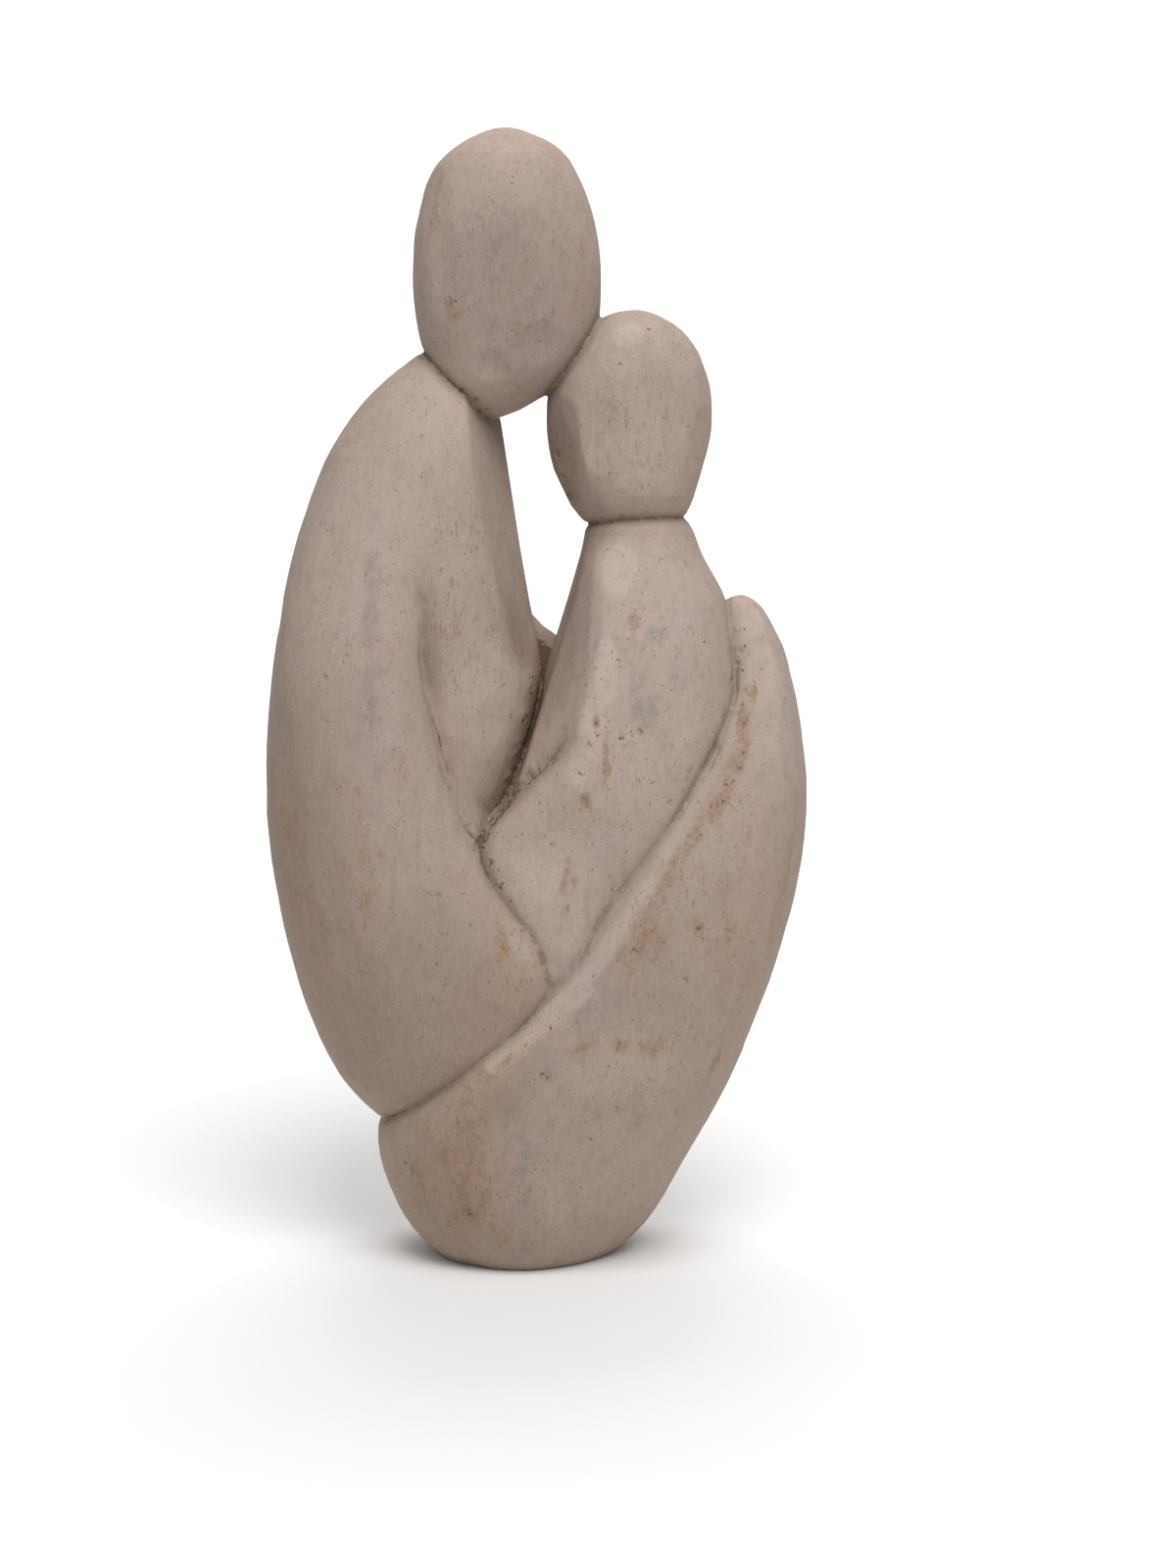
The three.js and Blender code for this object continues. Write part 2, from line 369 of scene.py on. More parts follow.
def beside(point, line):
    """How far a point lies from a line, mostly as seen from the front, below zero on its left."""
    nearest, away = 1.0, 1.0
    for a, b in zip(line, line[1:]):
        run = b - a
        share = min(1, max(0, (point - a).dot(run) / run.length_squared))
        off = point - a - run * share
        far = math.hypot(off.x, off.z, 0.3 * off.y)
        if far < nearest:
            nearest, away = far, math.copysign(far, off.x * -run.z + off.z * run.x)
    return away


def near_line(verts, where, line, reach):
    """The verts within reach of a line of places, each with its distance from it."""
    found = set()
    for a, b in zip(line, line[1:]):
        steps = max(1, math.ceil((b - a).length / reach))
        for k in range(steps + 1):
            found.update(index for _, index, _ in where.find_range(a.lerp(b, k / steps), reach * 1.8))
    return [(i, d) for i in sorted(found) if abs(d := beside(verts[i].co, line)) < reach]


# Edges left standing between two flats: places along each in millimetres, how far it falls away on
# its left and on its right, and how high it stands. Below zero it is a valley.
ARRISES = [
    # the child's side, from the neck down its front and along the forearm
    ([(24, -17, 263), (23, -22, 253), (22, -27, 243), (21, -31, 230), (21, -36, 217), (20, -39, 207),
      (18, -41, 197), (16, -42, 187), (16, -42, 180)], 9, 9, 2),
    ([(18, -41, 190), (14, -41, 183), (6, -39, 177), (1, -39, 172), (-5, -39, 167), (-10, -40, 161),
      (-12, -41, 156), (-13, -41, 150), (-10, -42, 143)], 5, 12, 1.4),
    # a narrow pared strip to the right of it
    ([(36, -24, 252), (31, -31, 238), (30, -37, 224), (27, -40, 210), (25, -42, 196), (22, -43, 184)],
     6, 12, 0.4),
    # the lap's trough and the hard edge beyond it
    ([(81, -21, 216), (78, -26, 208), (73, -30, 198), (67, -34, 187), (61, -38, 176), (55, -42, 165),
      (49, -45, 153), (43, -46, 143), (37, -47, 132), (31, -48, 122), (23, -49, 112)], 7, 7, -1.1),
    ([(82, -21, 219), (80, -25, 212), (76, -29, 204), (71, -32, 194), (67, -37, 183), (64, -40, 177),
      (58, -42, 167), (52, -45, 155), (48, -47, 147), (43, -48, 139), (37, -49, 129), (32, -50, 121),
      (26, -50, 110), (19, -51, 104), (11, -50, 95), (1, -51, 85), (-11, -50, 74), (-22, -48, 65)],
     3.5, 12, 1.2),
    # upright edges low on the lap
    ([(52, -51, 111), (52, -50, 97), (49, -46, 75), (46, -36, 51)], 12, 9, 0.6),
    ([(72, -47, 144), (72, -46, 123), (68, -43, 102), (61, -39, 77), (53, -38, 62)], 10, 10, 0.5),
    # the child's cheek, chin, right side and crown
    ([(9, -15, 313), (10, -16, 309), (12, -18, 301), (15, -20, 295), (18, -22, 288), (19, -23, 282),
      (21, -21, 274), (22, -18, 269)], 9, 12, 1.2),
    ([(23, -17, 269), (30, -22, 271), (34, -23, 275), (39, -23, 274), (51, -17, 276), (56, -9, 277)],
     9, 8, 1),
    ([(52, -10, 325), (57, -13, 311), (59, -12, 299), (57, -12, 289), (53, -14, 277)], 12, 9, 0.7),
    ([(12, -17, 321), (20, -20, 321), (30, -24, 322), (42, -22, 322), (52, -14, 322)], 12, 12, 0.5),
    # the larger head, which was rubbed down more
    ([(-37, -15, 378), (-42, -17, 366), (-43, -19, 350), (-40, -20, 335), (-36, -18, 325)], 12, 14, 0.5),
    ([(12, -16, 386), (17, -19, 372), (16, -21, 356), (15, -22, 342), (14, -19, 330), (9, -18, 318)],
     14, 10, 0.5),
    # the chest's flat and the sleeve's outer side
    ([(-28, -19, 312), (-24, -30, 290), (-22, -34, 270), (-21, -36, 250), (-20, -36, 230),
      (-19, -34, 208)], 12, 8, 0.7),
    ([(-70, -18, 285), (-80, -24, 262), (-85, -28, 240), (-85, -33, 210), (-84, -37, 179),
      (-83, -39, 159), (-77, -36, 121), (-70, -38, 100)], 10, 14, 0.6),
    ([(-44, -44, 240), (-45, -46, 210), (-42, -48, 180), (-34, -50, 150), (-22, -49, 125),
      (-8, -47, 108)], 14, 12, 0.6),
]
for places, left, right, height in ARRISES:
    line = in_metres(places)
    for index, away in near_line(cutting.verts, where, line, max(left, right) * MM):
        v = cutting.verts[index]
        wide = (left if away < 0 else right) * MM
        ends = min(1, (v.co - line[0]).length / (14 * MM), (v.co - line[-1]).length / (14 * MM))
        clear = min(1, abs(seams[index]) / (3 * MM)) if height > 0 else 1
        v.co += v.normal * (height * MM * max(0, 1 - abs(away) / wide) * ends * clear)
cutting.normal_update()

# The plainer flats all over, wherever the wood swells out and a stroke can run off it. They are
# shallower on the larger head, which was rubbed down more.
STROKE_APART = 12 * MM
STROKE_REACH = 14 * MM
strokes = random.Random(7)
taken = []
for _ in range(3000):
    v = cutting.verts[strokes.randrange(len(cutting.verts))]
    if any((v.co - p).length < STROKE_APART for p in taken):
        continue
    taken.append(v.co.copy())
    patch = [cutting.verts[i] for _, i, _ in where.find_range(v.co, STROKE_REACH)]
    if any((other.co - v.co).dot(v.normal) > 0.5 * MM for other in patch):
        continue
    sanded = v.co.z > 0.3 and v.co.x < 0.022
    turn = Vector(strokes.uniform(-1, 1) for _ in range(3)) * (0.03 if sanded else 0.06)
    deep = strokes.uniform(0.1, 0.35 if sanded else 0.65) * MM
    pare(v.co.copy(), (v.normal + turn).normalized(), deep, STROKE_REACH)
bmesh.ops.smooth_vert(
    cutting, verts=cutting.verts, factor=0.5, use_axis_x=True, use_axis_y=True, use_axis_z=True)
cutting.normal_update()

# Lines cut within one body: places along each in millimetres, the width on its left and its right, its
# depth, how crumbled it is, and how dark its line of old dirt and painted shade is.
CUT_LINES = [
    # the fold under the sleeve's edge, the crack that runs on from it, and the edge further down
    ([(-40, -35, 248), (-39, -35, 240), (-38, -35, 230), (-38, -35, 222), (-37, -34, 212),
      (-36, -35, 204)], 1.4, 7, 2.1, 0, 0.2),
    ([(-36, -35, 205), (-35, -35, 201), (-33, -34, 194), (-31, -35, 188), (-29, -36, 181)],
     0.8, 0.8, 0.7, 0.2, 0.85),
    ([(-33, -39, 187), (-31, -39, 181), (-29, -38, 176), (-26, -38, 170), (-24, -39, 163),
      (-21, -38, 158), (-18, -37, 155)], 0.8, 4, 1, 0.2, 0.6),
    # the crumbled angle above the forearm
    ([(13, -38, 194), (9, -36, 188), (3, -33, 180), (-5, -29, 172), (-11, -30, 165), (-16, -35, 159),
      (-20, -39, 155)], 4, 2.5, 1, 0.6, 0.9),
]
for places, left, right, depth, crumbled, _ in CUT_LINES:
    line = in_metres(places)
    for index, away in near_line(cutting.verts, where, line, max(left, right) * MM):
        v = cutting.verts[index]
        rough = noise.noise(v.co * 700) + 0.6 * noise.noise(v.co * 1500)
        wide = (left if away < 0 else right) * MM * (1 + 0.4 * crumbled * rough)
        ends = min(1, (v.co - line[0]).length / (8 * MM), (v.co - line[-1]).length / (6 * MM))
        into = max(0, 1 - abs(away) / wide) ** 2 * (1 + 0.5 * crumbled * rough)
        v.co -= v.normal * (depth * MM * into * ends)

# Torn wood in the bottoms of the deepest creases: the middle of each place, and how far it reaches.
TORN = [
    ((-19, -38, 156), 5), ((-16, -35, 159), 8), ((-11, -30, 165), 8), ((-5, -28, 172), 8),
    ((1, -31, 178), 7), ((7, -35, 185), 5), ((0, -2, 213), 7), ((-1, -15, 209), 6), ((-3, -18, 198), 5),
    ((-5, -16, 187), 5), ((-8, -14, 176), 6),
]
for place, reach in TORN:
    for _, index, far in where.find_range(Vector(place) * MM, reach * MM):
        v = cutting.verts[index]
        rough = 0.35 + noise.noise(v.co * 330) + 0.8 * noise.noise(v.co * 850)
        v.co += v.normal * (0.6 * MM * rough * min(1, 2 - 2 * far / (reach * MM)))

# Knots, worm holes and nicks that go in: the place, how wide and how deep, in millimetres.
PITS = [
    ((22, -41, 197), 1.5, 0.9), ((22, -42, 194), 0.9, 0.6), ((7, -43, 156), 1.1, 0.8),
    ((10, -43, 154), 0.9, 0.6), ((-52, -51, 153), 1.2, 0.7), ((-32, -50, 140), 1, 0.9),
    ((57, -51, 128), 2.2, 0.4), ((8, -10, 288), 1.6, 1.2), ((12, -10, 274), 2, 1.4),
    ((10, -12, 280), 1.2, 0.7), ((36, -42, 195), 1.3, 0.6), ((30, -42, 193), 1.1, 0.5),
    ((18, -43, 171), 1, 0.6), ((-52, -42, 226), 1, 0.7), ((-43, -33, 38), 1.2, 0.8),
    ((-52, -22, 55), 2, 0.8), ((31, -19, 267), 1, 0.6), ((-63, -44, 221), 0.8, 0.7),
    ((72, -20, 221), 1.2, 0.8), ((69, -23, 211), 1.3, 0.9), ((71, -21, 216), 1, 0.7),
    ((54, -39, 181), 0.9, 0.6), ((47, -41, 170), 0.9, 0.6), ((52, -52, 111), 1.1, 0.6),
    ((71, -37, 187), 1.2, 0.6), ((68, -41, 178), 1.2, 0.6), ((73, -31, 198), 1.2, 0.6),
    ((-20, -17, 306), 1.3, 0.8), ((-16, -12, 302), 1.3, 0.8), ((-11, -42, 141), 1.2, 0.7),
    ((-14, -41, 149), 1.1, 0.7), ((-3, -43, 126), 1, 0.6), ((-24, -47, 66), 1.2, 0.6),
]
for place, wide, deep in PITS:
    for index, distance in round_about(where, place, 2.2 * wide):
        v = cutting.verts[index]
        torn = wide * MM * (1 + 0.8 * noise.noise(v.co * 900))
        v.co -= v.normal * (deep * MM * max(0, 1 - (distance / torn) ** 2))


def tool_mark(point):
    """How far the rasp and the hand have left the surface uneven at a point, in metres."""
    x, y, z = point
    lumps = noise.noise(Vector((x * 24, y * 24, z * 13)))
    waves = noise.noise(Vector((x * 85, y * 85, z * 34 + 5)))
    small = noise.noise(Vector((x * 420, y * 420, z * 150 + 9)))
    return (0.35 * lumps + 0.2 * waves + 0.07 * small) * MM


for v in cutting.verts:
    v.co += v.normal * tool_mark(v.co)
cutting.to_mesh(carving.data)
cutting.free()

# Fewer faces where the surface is plain, most of all at the back, and more along the creases.
MOST_FACES = 188000
plain = carving.vertex_groups.new(name="plain")
for v in carving.data.vertices:
    near_seam = abs(seams[v.index]) <= 2.5 * MM
    plain.add([v.index], 0.25 if near_seam else 0.6 if v.co.y < 0 else 1.0, "REPLACE")
kept = carving.modifiers.new("kept", "DECIMATE")
kept.ratio = min(1, MOST_FACES / (2 * len(carving.data.polygons)))
kept.vertex_group = "plain"
make_real(carving)

# The foot is sawn flat.
finished = bmesh.new()
finished.from_mesh(carving.data)
sawn = bmesh.ops.bisect_plane(
    finished, geom=finished.verts[:] + finished.edges[:] + finished.faces[:], plane_co=(0, 0, 0),
    plane_no=(0, 0, -1), clear_outer=True)
bmesh.ops.holes_fill(
    finished, edges=[g for g in sawn["geom_cut"] if isinstance(g, bmesh.types.BMEdge)])
bmesh.ops.triangulate(finished, faces=finished.faces)
bmesh.ops.recalc_face_normals(finished, faces=finished.faces)
for face in finished.faces:
    face.smooth = True
finished.normal_update()
finished.verts.ensure_lookup_table()
verts = finished.verts

# The wear, the dirt and the painted light and shade are numbers at each vertex for the finish to read.
# Most run from 0 to 1, but seam is in millimetres, and tone and warmth go below 0.
# Hollows are found by how much of the sky each place can't see, and the finish darkens them with dust and
# painted shade.
around = BVHTree.FromBMesh(finished)
HOLLOW_REACH = 14 * MM
LOOKS = 14
GOLDEN_TURN = 2.39996
looks = []
for k in range(LOOKS):
    up = 1 - (k + 0.5) / LOOKS
    turn = GOLDEN_TURN * k
    level = (1 - up * up) ** 0.5
    looks.append(Vector((math.cos(turn) * level, math.sin(turn) * level, up)))
hollow = []
for v in verts:
    upright = v.normal.to_track_quat("Z", "Y")
    start = v.co + v.normal * 0.3 * MM
    shut = 0
    for look in looks:
        _, _, _, distance = around.ray_cast(start, upright @ look, HOLLOW_REACH)
        if distance is not None:
            shut += 1 - distance / HOLLOW_REACH
    hollow.append(min(1, 2.2 * shut / len(looks)))
hollow = evened(hollow, verts, 3)

# Edges are found by how far each vertex stands out from the ones beside it.
edge = []
for v in verts:
    others = [e.other_vert(v).co for e in v.link_edges]
    middle = sum(others, Vector()) / len(others)
    width = sum((o - v.co).length for o in others) / len(others)
    edge.append((v.co - middle).dot(v.normal) / width)
edge = [min(1, max(0, 6 * k)) for k in evened(edge, verts, 4)]

# How far each vertex is from the nearest crease or cut line, and how dark the line of old dirt and
# painted shade along it is, which is most where the middle and reach of a darker place are given.
where = laid_out(verts)
seam = [1000 * abs(seam_at(v.co)) for v in verts]
DARKER_CREASES = [
    ((-15, -38, 158), 16, 1), ((2, 2, 210), 14, 1), ((-2, -10, 190), 14, 0.7),
    ((-13, -41, 147), 14, 0.8), ((2, -43, 116), 16, 0.55), ((-8, -44, 93), 20, 0.5),
    ((-48, -28, 57), 10, 0.9),
    ((71, -20, 216), 16, 0.75), ((58, -36, 189), 12, 0.9), ((47, -41, 173), 14, 0.7),
    ((20, -43, 127), 24, 0.5), ((-14, -9, 303), 10, 1), ((-25, -18, 311), 12, 0.8),
    ((-37, -9, 321), 8, 0.7), ((21, -9, 264), 8, 0.9), ((38, -19, 266), 14, 0.65),
    ((52, -8, 266), 8, 0.8), ((5, -2, 308), 8, 1), ((16, -15, 326), 14, 0.7),
]
LEAST_DIRT_AND_SHADE = 0.3
crease = [
    max([LEAST_DIRT_AND_SHADE] + [dirt_and_shade * min(1, 1.6 - 1.6 * (v.co - Vector(place) * MM).length / (reach * MM))
                         for place, reach, dirt_and_shade in DARKER_CREASES]) if seam[v.index] < 6 else 0
    for v in verts]
for places, left, right, _, _, dirt_and_shade in CUT_LINES:
    line = in_metres(places)
    for index, away in near_line(verts, where, line, 5 * MM):
        if 1000 * abs(away) < seam[index]:
            seam[index] = 1000 * abs(away)
            ends = min(1, (verts[index].co - line[0]).length / (9 * MM))
            crease[index] = dirt_and_shade * ends
pitted = [0.0] * len(verts)
for place, wide, _ in PITS:
    for index, distance in round_about(where, place, 1.3 * wide):
        pitted[index] = max(pitted[index], 1 - distance / (1.3 * wide * MM))

# Crumbled places: rows of them in millimetres, how far each reaches and how strong it is.
CRUMBLED = [
    ([(-32, -21, 369), (-30, -21, 367), (-15, -27, 374), (-6, -26, 379), (9, -26, 357), (8, -27, 361),
      (-3, -25, 317)], 1.8, 0.8),
    ([(-28, -26, 340), (-27, -26, 338), (-26, -27, 335), (-26, -27, 333)], 3, 0.85),
    ([(40, -16, 330), (43, -17, 329), (49, -12, 329), (28, -21, 324), (30, -24, 319), (34, -27, 301),
      (37, -27, 300), (53, -19, 285), (45, -17, 267)], 1.7, 0.9),
    ([(8, -10, 288), (12, -10, 274), (13, -12, 275), (30, -19, 267)], 2.4, 0.9),
    ([(-38, -8, 321), (-32, -15, 316), (-20, -17, 307), (-16, -9, 302), (-21, -17, 306),
      (-25, -19, 311)], 2.6, 0.95),
    ([(-44, -14, 313), (-35, -20, 305), (-34, -21, 303), (-38, -31, 280), (-46, -31, 280),
      (-65, -29, 270)], 2, 0.85),
    ([(26, -21, 255), (28, -38, 222), (29, -37, 219), (60, -31, 225), (50, -37, 221)], 1.8, 0.75),
    ([(36, -33, 239), (35, -33, 236), (34, -34, 233)], 2.6, 0.7),
    ([(21, -41, 206), (22, -41, 197), (23, -42, 193), (19, -42, 191), (30, -42, 193), (33, -42, 194),
      (36, -42, 196), (37, -42, 194)], 1.8, 0.95),
    ([(25, -42, 190), (26, -42, 187), (25, -42, 184), (25, -42, 181), (16, -42, 181)], 1.9, 0.9),
    ([(18, -43, 173), (19, -43, 170), (16, -43, 168)], 1.5, 0.9),
    ([(41, -42, 178), (37, -42, 178), (13, -43, 163), (45, -41, 169), (29, -43, 169), (31, -43, 166),
      (28, -43, 141), (5, -43, 128)], 1.7, 0.8),
    ([(7, -43, 156), (10, -43, 154), (12, -43, 147), (11, -43, 144)], 1.7, 0.85),
    ([(-19, -38, 156), (-16, -35, 159), (-13, -34, 161), (-11, -30, 165), (-8, -27, 168),
      (-5, -28, 172), (0, -31, 177), (3, -33, 180), (7, -35, 184), (9, -36, 188)], 4, 0.95),
    ([(2, 6, 218), (1, -8, 216), (-1, -15, 210), (-2, -17, 205), (-3, -18, 197), (-5, -16, 187),
      (-7, -14, 178)], 4, 1),
    ([(-17, -39, 153), (-14, -41, 149), (-11, -42, 141), (-8, -42, 136)], 2.8, 1),
    ([(-3, -43, 126), (1, -45, 114), (6, -44, 108)], 2, 0.8),
    ([(72, -17, 228), (73, -20, 222), (71, -22, 215), (69, -23, 211), (65, -30, 199)], 2.6, 0.95),
    ([(56, -38, 183), (54, -39, 181), (47, -41, 170), (40, -42, 162), (28, -43, 141)], 2, 0.8),
    ([(73, -31, 198), (73, -34, 191), (71, -37, 187), (69, -39, 182), (66, -41, 177), (65, -43, 172),
      (62, -43, 169)], 3, 0.85),
    ([(54, -44, 160), (51, -45, 155), (48, -45, 151), (45, -47, 145), (43, -49, 134), (43, -51, 124),
      (40, -50, 128), (37, -50, 129), (34, -51, 121)], 3.4, 0.7),
    ([(55, -49, 147), (57, -49, 144), (57, -51, 130), (57, -51, 127), (59, -51, 126), (67, -49, 129),
      (50, -52, 120), (52, -52, 110), (54, -52, 112), (63, -49, 114), (41, -52, 111)], 2, 0.85),
    ([(37, -52, 88), (30, -52, 88), (29, -52, 90), (18, -52, 87), (16, -50, 103), (16, -52, 96),
      (5, -51, 77), (4, -51, 78), (29, -50, 65), (21, -48, 54)], 1.9, 0.9),
    ([(16, -52, 95), (7, -51, 93), (-1, -49, 88), (-9, -49, 81), (-15, -49, 75), (-22, -48, 67),
      (-26, -46, 64)], 2.4, 0.8),
    ([(-31, -34, 260), (-29, -34, 237), (-30, -34, 223), (-29, -34, 226), (-34, -35, 243),
      (-24, -33, 250), (-15, -29, 229), (-11, -27, 209)], 2, 0.75),
    ([(-55, -35, 263), (-52, -48, 199), (-63, -35, 257), (-63, -38, 243), (-63, -43, 224),
      (-62, -43, 217), (-70, -45, 214), (-81, -41, 190), (-52, -43, 226)], 1.8, 0.85),
    ([(-32, -50, 140), (-32, -51, 136), (-32, -51, 131), (-32, -51, 127), (-33, -50, 122),
      (-33, -50, 116), (-34, -49, 110), (-34, -49, 103), (-34, -48, 97), (-34, -48, 93)], 1.1, 1),
    ([(-45, -33, 41), (-41, -35, 40), (-47, -32, 43), (-52, -24, 56), (-25, -42, 39), (-21, -40, 24)],
     2.2, 0.85),
]
crumbly = [0.0] * len(verts)
for places, reach, strength in CRUMBLED:
    for place in places:
        for index, far in round_about(where, place, reach):
            crumbly[index] = max(crumbly[index], strength * (1 - far / (reach * MM)) ** 0.5)
for place, reach in CLOGGED:
    for _, index, _ in where.find_range(Vector(place) * MM, reach * MM):
        if seam[index] < 2.6:
            crumbly[index] = 1.0
            seam[index] *= 0.4
# The slot behind it, too narrow for a brush, is painted dark as old dirt and painted shade: where, and
# how far.
DARKENED_SLOT = [
    ((3.5, 7.5, 216), 4), ((2.6, -2, 209), 3.2), ((2.5, -6.5, 206), 3.2), ((1.9, -8.5, 203), 3.2),
    ((1.1, -9.2, 200), 3.2), ((0.5, -9.8, 196), 3.2), ((-0.7, -10.5, 192), 3), ((-1.8, -10.6, 188), 3),
]
for place, reach in DARKENED_SLOT:
    for _, index, _ in where.find_range(Vector(place) * MM, reach * MM):
        crumbly[index] = 1.0
        seam[index] = 0.0
        crease[index] = max(crease[index], 0.9)

# Patches of wear and colour, some of the pale ones painted light: the middle of each, its half width and
# half height, and how strong it is.
RUBBED = [
    ((63, -42, 171), 3, 9, 0.6), ((48, -47, 148), 4, 9, 0.6), ((43, -50, 128), 4, 9, 0.8),
    ((37, -50, 126), 3, 10, 0.9), ((32, -52, 114), 3, 9, 0.7), ((57, -50, 128), 5, 6, 0.8),
    ((67, -49, 128), 4, 8, 0.7), ((74, -39, 106), 3, 22, 0.5), ((62, -40, 81), 4, 20, 0.45),
    ((87, -33, 140), 3, 26, 0.8), ((83, -36, 122), 3, 20, 0.5), ((76, -41, 148), 3, 16, 0.4),
    ((17, -52, 87), 4, 5, 0.8), ((40, -51, 87), 6, 3, 0.95), ((30, -52, 88), 2.5, 3, 0.95),
    ((12, -43, 142), 3, 9, 0.7), ((35, -34, 237), 2.6, 11, 0.65), ((-24, -41, 34), 8, 24, 1.25),
    ((-17, -40, 28), 4, 20, 0.9), ((-31, -42, 44), 5, 14, 0.9), ((-19, -47, 57), 4, 8, 0.8),
    ((-11, -38, 16), 6, 6, 0.8), ((-40, -34, 30), 5, 14, 0.8), ((37, -45, 59), 4, 9, 0.45),
    ((-59, -50, 166), 2.5, 12, 0.8), ((-57, -49, 143), 2.5, 16, 0.95), ((-61, -49, 152), 2, 12, 0.5),
    ((-86, -26, 224), 2, 16, 0.9), ((-85, -36, 158), 2.5, 22, 0.95), ((-78, -39, 137), 2.5, 12, 0.7),
    ((-71, -39, 110), 3, 16, 0.8), ((-64, -39, 98), 3, 12, 0.6), ((-11, -46, 121), 2.5, 12, 0.95),
    ((-3, -43, 112), 2.5, 8, 0.8), ((-44, -48, 182), 2, 9, 0.6), ((-65, -47, 208), 2.5, 8, 0.6),
    ((16, -22, 345), 4, 20, 0.55), ((53, -38, 62), 3, 10, 0.5), ((5, -51, 77), 2.5, 2.5, 1.1),
    ((22, -41, 197), 1.6, 4, 1.1), ((25, -42, 186), 1.6, 8, 1), ((-27, -26, 337), 3, 4, 0.9),
    ((18, -43, 171), 2, 3, 1), ((-28, -34, 232), 4, 16, 0.5), ((-22, -34, 262), 4, 14, 0.45),
    ((60, 30, 150), 6, 26, 0.8), ((-40, 44, 130), 6, 30, 0.8), ((10, 44, 90), 8, 14, 0.7),
    ((-78, 22, 190), 4, 26, 0.8), ((34, 26, 240), 4, 12, 0.6), ((-12, 24, 350), 5, 14, 0.5),
    ((0, 36, 40), 5, 22, 0.8), ((-70, 34, 240), 5, 16, 0.6), ((88, 0, 170), 5, 20, 0.7),
]
COOL = [
    ((-3, -43, 44), 3.5, 22, 0.9), ((-3, -36, 18), 3.5, 14, 0.9), ((26, -43, 164), 6, 10, 0.4),
    ((-8, -44, 126), 8, 12, 0.3), ((42, -36, 228), 2.5, 3.5, 0.9), ((52, -37, 214), 6, 8, 0.5),
    ((38, -40, 205), 4, 8, 0.5), ((-14, -30, 358), 14, 12, 0.35), ((1, -30, 345), 10, 10, 0.4),
    ((33, -52, 109), 8, 6, 0.5), ((24, -51, 104), 7, 5, 0.45), ((-37, -34, 205), 2, 12, 0.7),
    ((2, -8, 210), 4, 8, 0.4), ((50, -22, 275), 8, 5, 0.3), ((6, -45, 132), 8, 8, 0.3),
    ((-30, -47, 125), 14, 16, 0.3), ((40, 40, 190), 8, 22, 0.5), ((-58, 42, 160), 4, 36, 0.7),
    ((-8, 42, 60), 8, 26, 0.4), ((-10, 30, 370), 10, 12, 0.3), ((36, -52, 66), 10, 10, 0.35),
]
# Pale places: some are lime laid thicker, and some, such as the narrow pared strips on the child's chest,
# are painted light on flats that face the lamp.
PALE_AND_LIT = [
    ((35, -36, 229), 3, 4, 0.9), ((25, -40, 215), 4, 13, 1), ((20, -42, 197), 4.5, 13, 1),
    ((16, -42, 184), 3.5, 8, 0.9), ((79, -24, 212), 5, 12, 0.9), ((76, -16, 230), 5, 7, 0.7),
    ((32, -20, 329), 8, 6, 0.7), ((-14, -26, 381), 10, 8, 0.4), ((-38, -28, 296), 12, 9, 0.3),
    ((-25, -34, 209), 5, 9, 0.3), ((4, -43, 143), 8, 9, 0.7), ((19, -51, 75), 12, 9, 0.4),
    ((30, -28, 249), 7, 11, 0.85), ((44, -45, 168), 5, 12, 0.4), ((36, -27, 290), 8, 4, 0.3),
    ((60, 36, 190), 8, 18, 0.5), ((-30, 44, 200), 12, 20, 0.4), ((-8, 28, 385), 10, 8, 0.3),
]
# The same along lines: the places, the half width, and how strong it is.
RUBBED_ROWS = [
    ([(75, -26, 208), (73, -31, 198), (72, -35, 189), (69, -39, 181), (65, -43, 172), (61, -42, 166)],
     2.6, 0.95),
    ([(61, -42, 166), (54, -44, 157), (48, -46, 148), (43, -48, 138), (37, -50, 128), (31, -51, 119)],
     2.4, 0.7),
    ([(-4, -50, 86), (-15, -49, 75), (-24, -47, 65)], 1.8, 0.6),
]
COOL_ROWS = [
    ([(-51, -26, 290), (-54, -32, 274), (-55, -36, 262)], 2.4, 0.45),
    ([(-55, -37, 256), (-55, -40, 246)], 2.2, 0.6), ([(-55, -42, 238), (-55, -44, 226)], 2.2, 0.75),
    ([(-54, -46, 216), (-54, -48, 205), (-53, -50, 192)], 2.6, 0.8),
    ([(-53, -50, 186), (-52, -51, 176)], 2.2, 0.65), ([(-52, -51, 170), (-52, -51, 152)], 2.4, 0.7),
]
PALE_AND_LIT_ROWS = [
    ([(79, -20, 220), (76, -25, 210), (71, -29, 200), (66, -33, 190), (60, -38, 179), (55, -41, 170),
      (49, -44, 158), (43, -46, 148), (37, -47, 138), (31, -48, 128), (24, -49, 118), (17, -49, 109)],
     4.5, 0.6),
    ([(17, -49, 107), (9, -49, 100), (1, -48, 93), (-6, -47, 87), (-13, -46, 81)], 4.5, 0.75),
]
